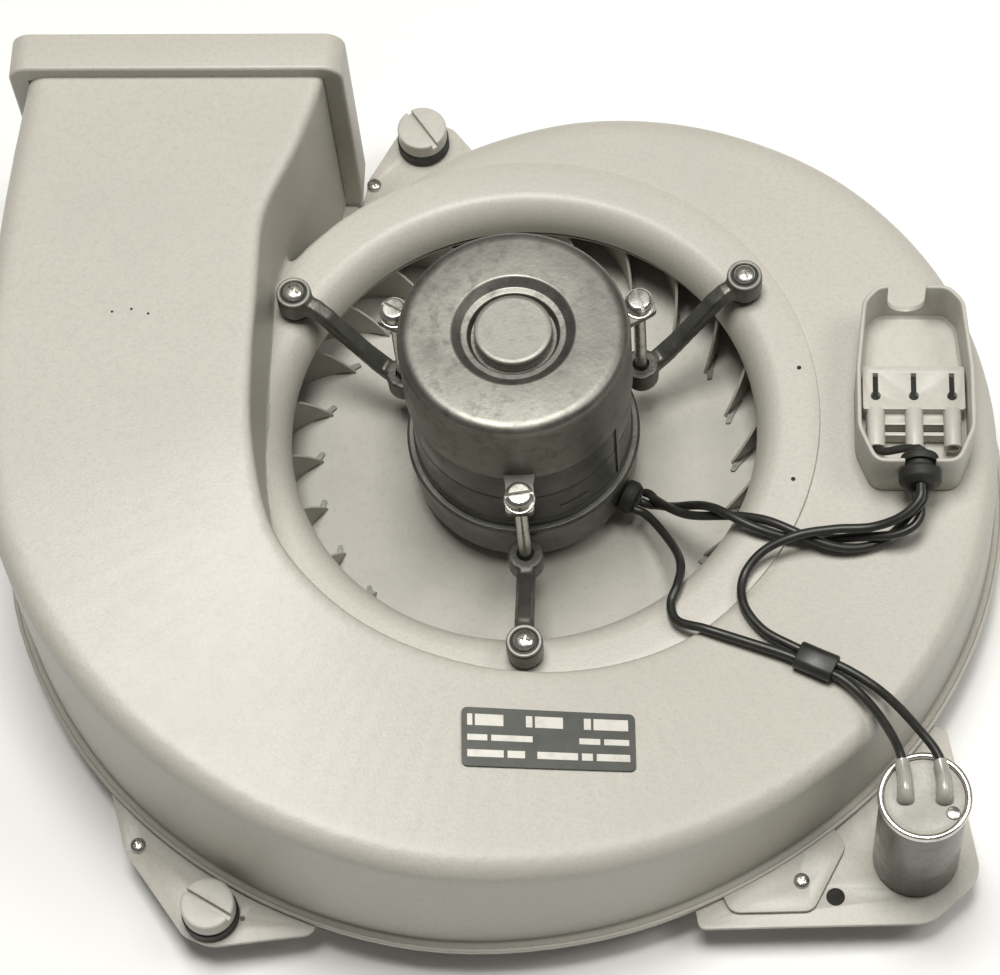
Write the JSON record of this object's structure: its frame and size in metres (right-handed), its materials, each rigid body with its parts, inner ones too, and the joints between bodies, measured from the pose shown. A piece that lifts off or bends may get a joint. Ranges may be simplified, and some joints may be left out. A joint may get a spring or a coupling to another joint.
{
  "type": "centrifugal blower",
  "caption": "Single-inlet centrifugal blower: spiral sheet-metal housing with a rectangular outlet, outside motor on cast arms, wheel, terminal box and run capacitor.",
  "frame": {"origin": "on the motor's axis, in the plane of the back cover's outer face", "axes": "+Z along the motor's axis towards the free end of the motor, +Y the way the outlet blows, +X away from the outlet side"},
  "size_m": [0.3419, 0.3172, 0.1154],
  "materials": {
    "paint": "warm light grey stove enamel, satin",
    "pale_sheet": "pale grey sheet metal of the impeller",
    "can_metal": "dull plated sheet, mottled",
    "grey_steel": "dull zinc grey",
    "dark_iron": "dark laminated iron",
    "cast_arm": "dark grey die casting",
    "bright_steel": "bright zinc plate",
    "black_rubber": "black rubber",
    "black_cable": "black insulated wire",
    "white_plastic": "off-white moulding",
    "lid_grey": "light grey potted lid",
    "clear_sleeve": "milky insulating sleeve over the tab",
    "name_plate": "dark grey plate with plain light bars"
  },
  "bodies": {
    "housing": {"scroll_shell": "paint", "outlet_collar": "paint", "inlet_ring": "paint", "mounting_plate": "paint", "back_cover": "paint", "motor_can": "can_metal", "bearing_cap": "can_metal", "stator_core": "dark_iron", "lower_shield": "grey_steel", "upper_bearing": "bright_steel", "lower_bearing": "bright_steel", "terminal_box": "white_plastic", "terminal_block": "white_plastic", "cable_gland": "black_rubber", "capacitor_can": "can_metal", "capacitor_lid": "lid_grey", "capacitor_nut": "bright_steel", "capacitor_tab_1": "clear_sleeve", "capacitor_tab_2": "clear_sleeve", "buffer_top": "black_rubber", "buffer_left": "black_rubber", "ear_screw_1": "bright_steel", "ear_screw_2": "bright_steel", "ear_screw_3": "bright_steel", "motor_grommet": "black_rubber", "feed_lead_1": "black_cable", "feed_lead_2": "black_cable", "capacitor_lead_1": "black_cable", "capacitor_lead_2": "black_cable", "lead_sleeve": "black_cable", "rating_plate": "name_plate", "motor_bolt_1": "bright_steel", "support_arm_1": "cast_arm", "arm_bush_1": "black_rubber", "arm_screw_1": "bright_steel", "motor_bolt_2": "bright_steel", "support_arm_2": "cast_arm", "arm_bush_2": "black_rubber", "arm_screw_2": "bright_steel", "motor_bolt_3": "bright_steel", "support_arm_3": "cast_arm", "arm_bush_3": "black_rubber", "arm_screw_3": "bright_steel"},
    "wheel": {"impeller_disc": "pale_sheet", "impeller_blades": "pale_sheet", "impeller_bush": "grey_steel", "motor_shaft": "bright_steel", "rotor_core": "dark_iron"},
    "top_knob": {"knob_top": "white_plastic"},
    "left_knob": {"knob_left": "white_plastic"}
  },
  "joints": [
    {"name": "wheel_spin", "type": "hinge", "parent": "housing", "child": "wheel", "pos_m": [0, 0, 0.05], "axis": [0, 0, 1], "continuous": true},
    {"name": "top_knob_turn", "type": "hinge", "parent": "housing", "child": "top_knob", "pos_m": [-0.0417, 0.1329, 0.02], "axis": [0, 0, 1], "range_deg": [-90, 0]},
    {"name": "left_knob_turn", "type": "hinge", "parent": "housing", "child": "left_knob", "pos_m": [-0.098, -0.1622, 0.02], "axis": [0, 0, 1], "range_deg": [-90, 0]}
  ]
}
